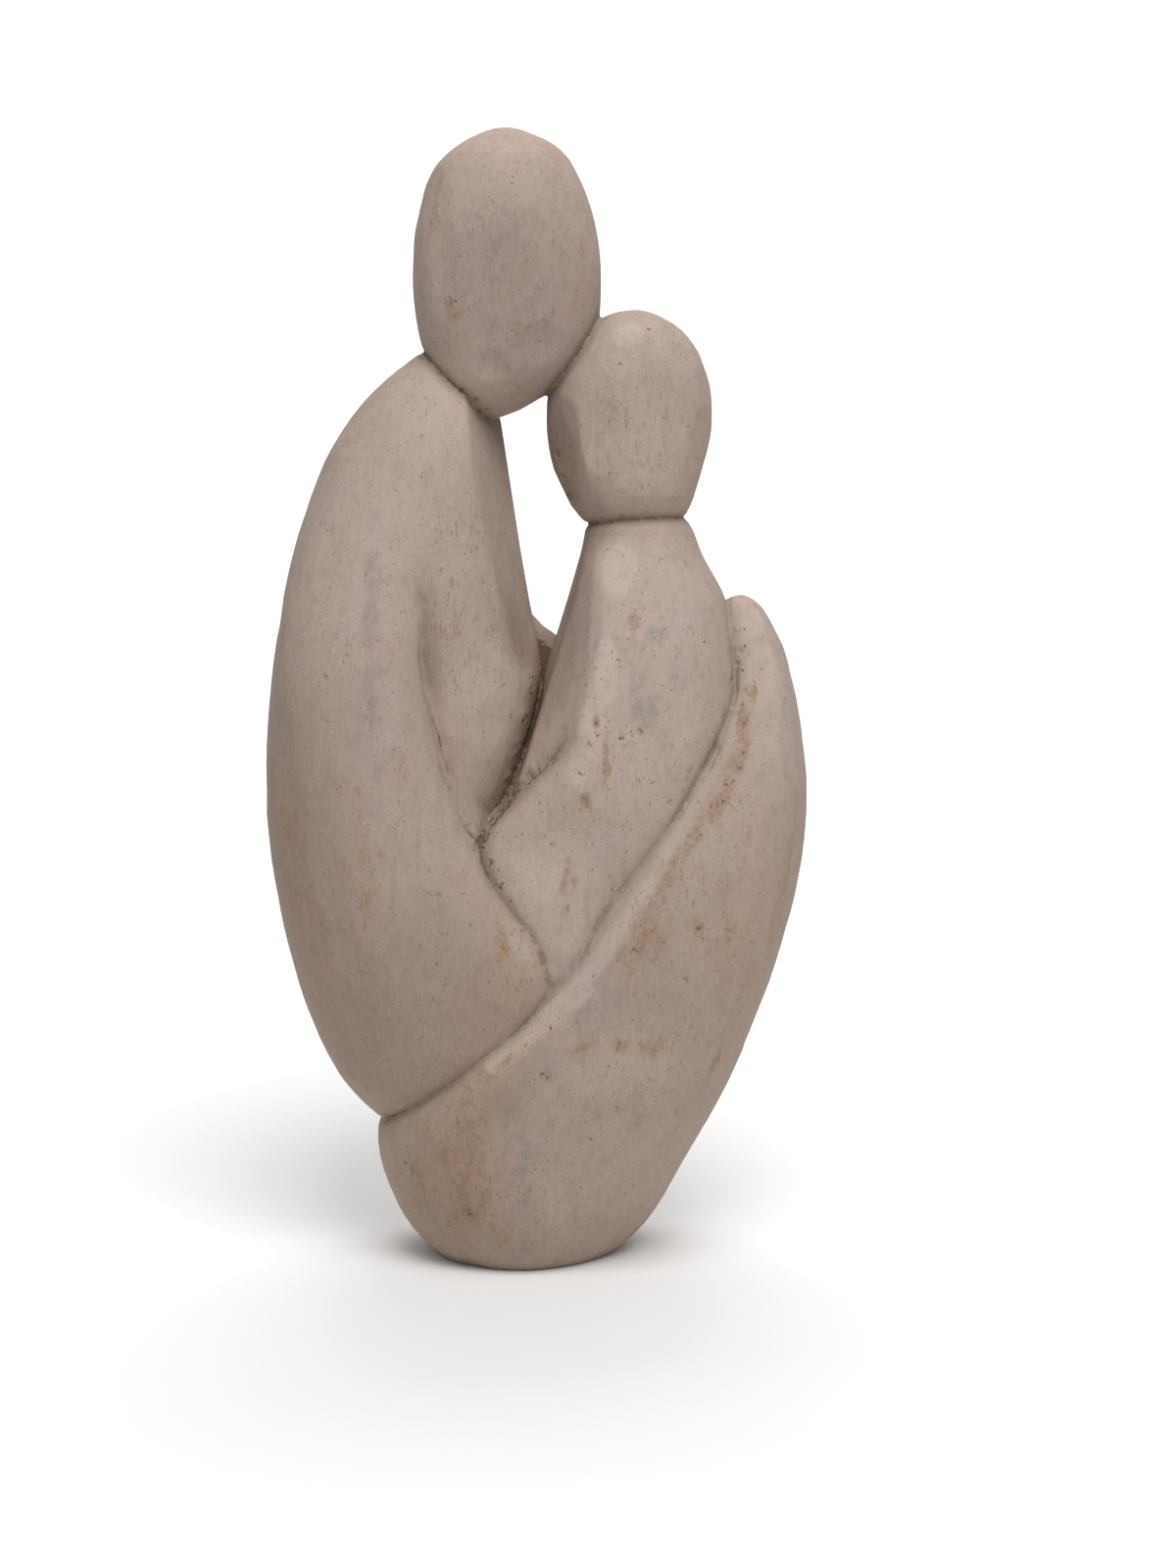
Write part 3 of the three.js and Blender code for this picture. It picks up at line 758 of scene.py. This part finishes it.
# Broad parts made lighter, above 0, and darker, below it. Some are lime that went on thicker and lighter,
# or was left thin and dusky; others are painted light and painted shade, such as the darker flank and
# left cheek of the child, the dark strip beside the sleeve's fold and the lightened bottom of the V
# between the figures.
TONE_LIGHT_AND_SHADE = [
    ((34, -40, 195), 26, 34, 0.9), ((40, -30, 235), 22, 26, 0.7), ((6, -44, 138), 14, 22, 0.9),
    ((60, -42, 175), 22, 26, 0.5), ((80, -20, 205), 18, 34, 0.8), ((-62, -34, 265), 24, 32, 0.7),
    ((-30, -30, 300), 22, 20, 0.65), ((20, -48, 70), 30, 26, 0.4), ((30, -42, 40), 26, 26, 0.6),
    ((40, -50, 108), 26, 22, -0.5), ((62, -45, 116), 12, 30, -0.4), ((34, -25, 285), 20, 14, 0.5),
    ((-40, -48, 95), 36, 40, -0.9), ((-76, -42, 150), 20, 60, -0.8), ((-4, -30, 348), 20, 24, -0.9),
    ((-20, -22, 322), 24, 14, -0.3), ((-32, -40, 22), 18, 36, -0.7), ((-10, -36, 20), 16, 24, -0.5),
    ((10, -30, 372), 14, 20, -0.4), ((9, -20, 212), 8, 26, -0.9), ((14, -14, 238), 6, 20, -0.8),
    ((10, -12, 288), 7, 18, -0.8), ((-34, -35, 222), 3, 22, -1), ((-14, -25, 195), 14, 28, 1),
    ((-5, -22, 228), 7, 14, -0.8),
    ((50, 36, 150), 40, 60, 0.4), ((-50, 44, 200), 40, 60, 0.3), ((-10, 40, 80), 40, 40, -0.6),
    ((-10, 26, 350), 26, 26, -0.5), ((80, 10, 120), 24, 40, -0.4), ((-84, 10, 180), 20, 50, -0.4),
]
# Broad warm parts, above 0, and cool rosy ones, below it.
WARMTH = [
    ((-12, -28, 196), 12, 26, 0.45), ((-31, -36, 186), 8, 20, 0.6), ((-87, -30, 205), 10, 34, -0.6),
    ((89, -20, 198), 10, 34, -0.7), ((36, -36, 224), 18, 24, -0.6), ((8, -43, 156), 12, 18, -0.6),
    ((27, -48, 140), 13, 28, -0.6),
    ((-38, -28, 296), 26, 18, -0.5),
    ((-8, -30, 355), 28, 40, -0.7), ((34, -27, 322), 20, 12, -0.4), ((-60, -34, 262), 24, 50, -0.6),
    ((-56, -42, 222), 12, 60, -0.9), ((-38, -40, 165), 14, 26, -0.6), ((50, -30, 240), 18, 20, -0.7),
    ((74, -20, 225), 12, 16, -0.5), ((-82, -36, 150), 10, 40, 0.7), ((-70, -38, 108), 14, 24, 0.5),
    ((0, -8, 208), 10, 18, 0.9), ((-8, -46, 98), 20, 16, 0.6), ((30, -50, 110), 22, 14, -0.7),
    ((-16, -47, 74), 16, 12, 0.9), ((-26, -42, 36), 14, 28, 1.1), ((-44, -34, 24), 12, 20, 0.7),
    ((76, -42, 130), 12, 48, 0.7), ((60, -46, 125), 14, 44, 0.4), ((8, -12, 285), 8, 16, 0.5),
    ((-12, -20, 308), 18, 8, 0.6), ((40, 36, 120), 40, 50, 0.5), ((-40, 40, 220), 40, 50, -0.5),
]
# Where the pores are open.
OPEN_GRAIN = [
    ((70, -42, 150), 8, 26, 0.6), ((-70, -40, 130), 10, 30, 0.5), ((-30, -47, 70), 16, 16, 0.6),
    ((40, -50, 80), 18, 18, 0.5), ((0, -40, 30), 18, 18, 0.5), ((32, -26, 300), 16, 20, 0.6),
    ((-12, -30, 350), 22, 30, 0.5),
    ((-28, -34, 228), 10, 18, 1), ((-24, -34, 262), 10, 7, 1), ((-16, -30, 236), 5, 20, 0.6),
    ((56, -49, 143), 6, 9, 0.9), ((38, -50, 128), 7, 12, 0.9), ((57, -51, 128), 5, 4, 0.9),
    ((-52, -48, 199), 4, 10, 0.7), ((-63, -42, 222), 5, 10, 0.7), ((-34, -22, 366), 7, 9, 0.7),
    ((28, -42, 186), 6, 14, 0.6), ((-46, -33, 41), 9, 7, 0.8), ((-5, -45, 117), 8, 14, 0.7),
    ((6, -30, 360), 8, 16, 0.5), ((-85, -34, 190), 6, 40, 0.5), ((60, 30, 170), 14, 34, 0.8),
    ((-50, 42, 160), 16, 40, 0.8), ((4, 40, 110), 16, 24, 0.8), ((10, 24, 210), 12, 16, 0.8),
]


def patched(patches, rows=()):
    """How much of a patch reaches each vertex: the strongest of those that do. The patches are wear and
    colour, and some are painted light and painted shade.
    """
    amount = [0.0] * len(verts)
    for place, half_wide, half_high, strength in patches:
        for index, _ in round_about(where, place, 1.6 * max(half_wide, half_high)):
            off = (verts[index].co - Vector(place) * MM) / MM
            apart = math.hypot(off.x, off.y * 0.7) / half_wide, off.z / half_high
            left = strength * max(0, 1 - (apart[0] ** 2 + apart[1] ** 2) / 2.4)
            if abs(left) > abs(amount[index]):
                amount[index] = left
    for places, half_wide, strength in rows:
        line = in_metres(places)
        for index, away in near_line(verts, where, line, 1.6 * half_wide * MM):
            left = strength * max(0, 1 - (away / (half_wide * MM)) ** 2 / 2.4)
            amount[index] = max(amount[index], left)
    return amount


WEAR_AND_PAINTED_LIGHT = {
    "hollow": hollow, "edge": edge, "seam": seam, "crease": crease, "pitted": pitted, "crumbly": crumbly,
    "rubbed": patched(RUBBED, RUBBED_ROWS), "cool": patched(COOL, COOL_ROWS),
    "pale_and_lit": patched(PALE_AND_LIT, PALE_AND_LIT_ROWS),
    "tone_light_and_shade": evened(patched(TONE_LIGHT_AND_SHADE), verts, 6), "warmth": evened(patched(WARMTH), verts, 6),
    "open_grain": patched(OPEN_GRAIN),
}
finished.to_mesh(carving.data)
for kept_name, amounts in WEAR_AND_PAINTED_LIGHT.items():
    held = carving.data.attributes.new(kept_name, "FLOAT", "POINT")
    held.data.foreach_set("value", amounts)
finished.free()

# The finish: a thin pinkish lime over the wood, thick and pale on some flats, with painted light on some
# flats that face the lamp, rubbed back to warm wood on the edges, bluish where it pooled, with the pores
# full of old dirt, and dust, old dirt and painted shade in the hollows and creases. Broad lighter and
# darker parts are partly painted light and painted shade.
wood = bpy.data.materials.new("limewashed_wood")
wood.use_nodes = True
pieces, joins = wood.node_tree.nodes, wood.node_tree.links
shader = pieces["Principled BSDF"]
ground = pieces.new("ShaderNodeTexCoord").outputs["Object"]


def fed(node, inputs):
    """Sets or joins a node's inputs by their number or name."""
    for key, given in inputs.items():
        if isinstance(given, bpy.types.NodeSocket):
            joins.new(given, node.inputs[key])
        else:
            node.inputs[key].default_value = given
    return node


def cloudy(across, upright, detail=3.0, shift=0.0, turned=0.0, rough=0.55):
    """A soft pattern of so many patches a metre across the grain and along it, from 0 to 1."""
    laid = pieces.new("ShaderNodeMapping")
    laid.vector_type = "TEXTURE"
    fed(laid, {
        "Vector": ground, "Scale": (1 / across, 1 / across, 1 / upright),
        "Location": (shift, shift, shift), "Rotation": (0, turned, 0)})
    cloud = fed(pieces.new("ShaderNodeTexNoise"), {
        "Vector": laid.outputs[0], "Scale": 1.0, "Detail": detail, "Roughness": rough})
    return cloud.outputs["Fac"]


def ramp(value, low, high, to_high=1.0, to_low=0.0):
    """Eases a value from one range to another."""
    eased = pieces.new("ShaderNodeMapRange")
    eased.interpolation_type = "SMOOTHSTEP"
    return fed(eased, {0: value, 1: low, 2: high, 3: to_low, 4: to_high}).outputs[0]


def sums(kind, a, b, c=0.0):
    """Simple arithmetic between two or three values."""
    step = pieces.new("ShaderNodeMath")
    step.operation = kind
    return fed(step, {0: a, 1: b, 2: c}).outputs[0]


def times(a, b):
    """Two values multiplied."""
    return sums("MULTIPLY", a, b)


def plus(a, b, c):
    """One value times another, and a third added."""
    return sums("MULTIPLY_ADD", a, b, c)


def tinted(under, colour, amount, way="MIX"):
    """Lays one colour over another by an amount."""
    layer = pieces.new("ShaderNodeMix")
    layer.data_type = "RGBA"
    layer.blend_type = way
    return fed(layer, {0: amount, 6: under, 7: colour}).outputs[2]


def kept_at_vertices(name):
    """One of the numbers kept at the vertices."""
    reading = pieces.new("ShaderNodeAttribute")
    reading.attribute_name = name
    return reading.outputs["Fac"]


LIME = (0.392, 0.302, 0.252, 1)
LIME_WARM = (0.372, 0.280, 0.222, 1)
LIME_GREY = (0.340, 0.270, 0.236, 1)
# Thick pale lime, also used as painted light on some flats and broad parts.
LIME_THICK_AND_LIT = (0.465, 0.375, 0.318, 1)
LIME_BLUE = (0.285, 0.248, 0.235, 1)
BARE_WOOD = (0.350, 0.244, 0.168, 1)
BARE_ORANGE = (0.330, 0.215, 0.145, 1)
BARE_DARK = (0.230, 0.150, 0.100, 1)
# Old dirt, also used as painted shade along the crease lines.
OLD_DIRT_AND_SHADE = (0.115, 0.074, 0.048, 1)
# Brown dust, also used as painted shade in the hollows and beside the creases.
DUST_AND_SHADE = (0.23, 0.175, 0.137, 1)

fine = cloudy(300, 210, 5.0, 2.0, 0.0, 0.7)
broad = cloudy(20, 9, 3.0, 5.0)
streak = cloudy(330, 26, 3.0, 1.0)
hair = cloudy(1200, 130, 2.0, 8.0)
tear = cloudy(230, 85, 6.0, 3.0, 0.15, 0.72)
blot = cloudy(70, 38, 4.0, 13.0, 0.4, 0.6)
crumb = cloudy(760, 600, 3.0, 61.0)

colour = tinted(LIME, LIME_GREY, ramp(broad, 0.42, 0.66, 0.7))
colour = tinted(colour, LIME_WARM, ramp(cloudy(42, 15, 4.0, 11.0), 0.5, 0.72, 0.7))
# Broad lighter and darker parts: partly thick and thin lime, partly painted light and painted shade.
tone_light_and_shade = plus(blot, 0.6, sums("ADD", kept_at_vertices("tone_light_and_shade"), -0.3))
colour = tinted(colour, LIME_THICK_AND_LIT, ramp(tone_light_and_shade, 0, 1, 0.55))
colour = tinted(colour, (0.80, 0.78, 0.755, 1), ramp(tone_light_and_shade, 0, -1, 0.95), "MULTIPLY")
# Pale places: thicker lime, and painted light on some pared flats.
pale_and_lit = plus(kept_at_vertices("pale_and_lit"), 0.6, times(blot, 0.35))
colour = tinted(colour, LIME_THICK_AND_LIT, ramp(plus(fine, 0.3, pale_and_lit), 0.56, 0.7, 0.8))

warmth = kept_at_vertices("warmth")
colour = tinted(colour, (1.03, 0.985, 0.91, 1), ramp(warmth, 0, 1), "MULTIPLY")
colour = tinted(colour, (0.975, 0.985, 1.06, 1), ramp(warmth, 0, -1), "MULTIPLY")

# The blue lies in small dabs, close together where the lime pooled and here and there elsewhere.
dabs = cloudy(210, 120, 5.0, 71.0, 0.3, 0.7)
blue = plus(kept_at_vertices("cool"), 0.34, dabs)
blue = plus(ramp(cloudy(28, 17, 3.0, 81.0), 0.5, 0.68), 0.12, blue)
colour = tinted(colour, LIME_BLUE, ramp(blue, 0.6, 0.9, 0.75))

# Bare wood shows in torn upright patches where the lime was rubbed off.
rub = plus(kept_at_vertices("rubbed"), 0.3, times(tear, 1.0))
rub = plus(blot, 0.25, rub)
rub = plus(kept_at_vertices("edge"), 0.06, rub)
rub = plus(kept_at_vertices("crumbly"), 0.12, rub)
colour = tinted(colour, BARE_WOOD, ramp(rub, 0.68, 0.92, 0.6))
frayed = plus(hair, 0.3, plus(fine, 0.35, rub))
torn = ramp(frayed, 1.14, 1.26)
colour = tinted(colour, BARE_ORANGE, times(torn, 0.6))
colour = tinted(colour, BARE_DARK, ramp(frayed, 1.3, 1.4, 0.5))

# Fine scratches run every way, light and dark, under short upright hairs.
colour = tinted(colour, (0.55, 0.47, 0.40, 1), ramp(hair, 0.52, 0.85, 0.2))
scratched = ramp(cloudy(1300, 170, 2.0, 91.0, 0.7), 0.62, 0.76)
colour = tinted(colour, (0.56, 0.48, 0.41, 1), times(scratched, 0.2))
scored = ramp(cloudy(1200, 150, 2.0, 95.0, -0.5), 0.62, 0.76)
colour = tinted(colour, DUST_AND_SHADE, times(scored, 0.3))
colour = tinted(colour, (0.80, 0.77, 0.74, 1), ramp(streak, 0.55, 0.75, 0.4), "MULTIPLY")
colour = tinted(colour, (0.80, 0.77, 0.74, 1), ramp(fine, 0.46, 0.7, 0.45), "MULTIPLY")
colour = tinted(colour, (0.90, 0.88, 0.865, 1), ramp(blot, 0.45, 0.7, 0.6), "MULTIPLY")
grit = cloudy(1500, 1200, 2.0, 101.0)
colour = tinted(colour, (0.74, 0.71, 0.68, 1), ramp(grit, 0.45, 0.75, 0.35), "MULTIPLY")

# Pores are short dark dashes along the grain, thick in some places and rare in others.
open_grain = sums("MAXIMUM", ramp(cloudy(34, 20, 3.0, 21.0), 0.52, 0.72, 0.5), kept_at_vertices("open_grain"))
pore = ramp(cloudy(1150, 260, 1.0, 31.0), 0.63, 0.7)
speck = ramp(cloudy(700, 520, 1.0, 41.0), 0.7, 0.745, 0.75)
opened = sums("MAXIMUM", open_grain, times(torn, 0.9))
pores = sums("MAXIMUM", times(pore, opened), speck)
colour = tinted(colour, BARE_DARK, times(pores, 0.75))

# Dust and painted shade darken the hollows, and old dirt and painted shade lie along the bottom of each
# crease in a broken line.
dust_and_shade_in_hollows = plus(kept_at_vertices("hollow"), 1.0, times(fine, 0.35))
colour = tinted(colour, DUST_AND_SHADE, ramp(dust_and_shade_in_hollows, 0.35, 1.1, 0.42))
aside = sums("SUBTRACT", kept_at_vertices("seam"), 0.3)
dirt_and_shade = kept_at_vertices("crease")
# A soft halo of dust and painted shade beside each crease.
dust_and_shade_halo = times(ramp(aside, 0.3, 4.5, 0, 1), times(dirt_and_shade, 0.7))
colour = tinted(colour, DUST_AND_SHADE, times(dust_and_shade_halo, ramp(tear, 0.3, 0.65, 1, 0.4)))
# A thin broken dark line at the bottom of each crease: old dirt and painted shade.
narrow = plus(tear, -2.4, sums("ADD", aside, 1.2))
line = times(ramp(narrow, -0.25, 0.3, 0, 1), ramp(dirt_and_shade, 0.2, 1.0, 0.9, 0.12))
crumbs = plus(kept_at_vertices("crumbly"), 0.3, crumb)
colour = tinted(colour, BARE_DARK, ramp(crumbs, 0.74, 0.82, 0.6))
hole = plus(fine, 0.9, times(kept_at_vertices("pitted"), 0.6))
# The crease lines are old dirt and painted shade; the pits and crumbs are old dirt.
caked_dirt_and_shade = sums("MAXIMUM", line, ramp(hole, 0.85, 1.05, 0.75))
caked_dirt_and_shade = sums("MAXIMUM", caked_dirt_and_shade, ramp(crumbs, 0.8, 0.87, 0.85))
colour = tinted(colour, OLD_DIRT_AND_SHADE, caked_dirt_and_shade)
joins.new(colour, shader.inputs["Base Color"])
joins.new(ramp(rub, 0.6, 1.0, 0.72, 0.86), shader.inputs["Roughness"])
shader.inputs["Specular IOR Level"].default_value = 0.3

height = plus(pores, -0.9, times(fine, 0.9))
height = plus(hair, 0.25, height)
height = plus(streak, 0.3, height)
height = plus(tear, 0.8, height)
height = plus(cloudy(900, 700, 2.0, 51.0), 0.35, height)
height = plus(caked_dirt_and_shade, -0.9, height)
height = plus(torn, -0.5, height)
relief = fed(pieces.new("ShaderNodeBump"), {"Strength": 0.5, "Distance": 0.5 * MM, "Height": height})
joins.new(relief.outputs[0], shader.inputs["Normal"])
carving.data.materials.append(wood)
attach(carving, "root")
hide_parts("parent_and_child")

# THE FLOOR
# A plain sheet of white studio paper that the carving stands on. It lies flat under it and curves up
# behind it, so that no line shows.
SWEEP_FRONT = 2.4
SWEEP_BACK = 1.6
SWEEP_ROUND = 0.9
SWEEP_HIGH = 2.2
SWEEP_WIDE = 6.0
sheet = bmesh.new()
corners = [sheet.verts.new((side * SWEEP_WIDE / 2, -SWEEP_FRONT, 0)) for side in (-1, 1)]
moving = [sheet.edges.new(corners)]


def drawn_out(edges, move):
    """Extends the sheet from its far edge and moves the new edge on."""
    grown = bmesh.ops.extrude_edge_only(sheet, edges=edges)["geom"]
    bmesh.ops.translate(sheet, verts=[g for g in grown if isinstance(g, bmesh.types.BMVert)], vec=move)
    return [
        g for g in grown if isinstance(g, bmesh.types.BMEdge) and g.is_boundary
        and abs(g.verts[0].co.x - g.verts[1].co.x) > 1]


moving = drawn_out(moving, (0, SWEEP_FRONT + SWEEP_BACK, 0))
bends = 16
for k in range(bends):
    a, b = (math.pi / 2 * (k + j) / bends for j in (0, 1))
    step = (0, SWEEP_ROUND * (math.sin(b) - math.sin(a)), SWEEP_ROUND * (math.cos(a) - math.cos(b)))
    moving = drawn_out(moving, step)
drawn_out(moving, (0, 0, SWEEP_HIGH))
for face in sheet.faces:
    face.smooth = True
floor = placed("floor", bpy.data.meshes.new("floor"))
sheet.to_mesh(floor.data)
sheet.free()
paper = bpy.data.materials.new("white_paper")
paper.use_nodes = True
sheen = paper.node_tree.nodes["Principled BSDF"].inputs
sheen["Base Color"].default_value = (0.87, 0.87, 0.87, 1)
sheen["Roughness"].default_value = 0.95
floor.data.materials.append(paper)

# THE LIGHTS
# Soft studio light: a wide lamp overhead and in front of the carving, one that lifts the backdrop,
# and a pale room all round.
def lamp(name, place, power, size, aim=(0, 0, 0.2)):
    """A square soft lamp, pointed at a place."""
    light = bpy.data.lights.new(name, "AREA")
    light.energy = power
    light.size = size
    stand = placed(name, light)
    stand.location = place
    stand.rotation_euler = (Vector(aim) - Vector(place)).to_track_quat("-Z", "Y").to_euler()


lamp("overhead", (0.2, -0.8, 1.45), 20.5, 0.9)
lamp("backdrop_lamp", (0, 0.9, 1.9), 40, 1.2, aim=(0, 2.4, 0.5))
surround = bpy.data.worlds.new("surround")
surround.use_nodes = True
glow = surround.node_tree.nodes["Background"].inputs
glow["Color"].default_value = (1, 1, 1, 1)
glow["Strength"].default_value = 0.33
bpy.context.scene.world = surround
bpy.context.scene.view_settings.view_transform = "Standard"

# THE CAMERA
# On a stand square to the carving's front, a little above its middle and tilted down to it.
CAMERA_TILT = math.radians(8)
CAMERA_AIM = Vector((0.019, 0, 0.171))
CAMERA_LENS = 57.7
CAMERA_AWAY = 0.9
camera = placed("camera", bpy.data.cameras.new("camera"))
camera.data.lens = CAMERA_LENS
camera.location = CAMERA_AIM + CAMERA_AWAY * Vector((0, -math.cos(CAMERA_TILT), math.sin(CAMERA_TILT)))
camera.rotation_euler = (math.pi / 2 - CAMERA_TILT, 0, 0)
bpy.context.scene.camera = camera

bpy.context.view_layer.update()
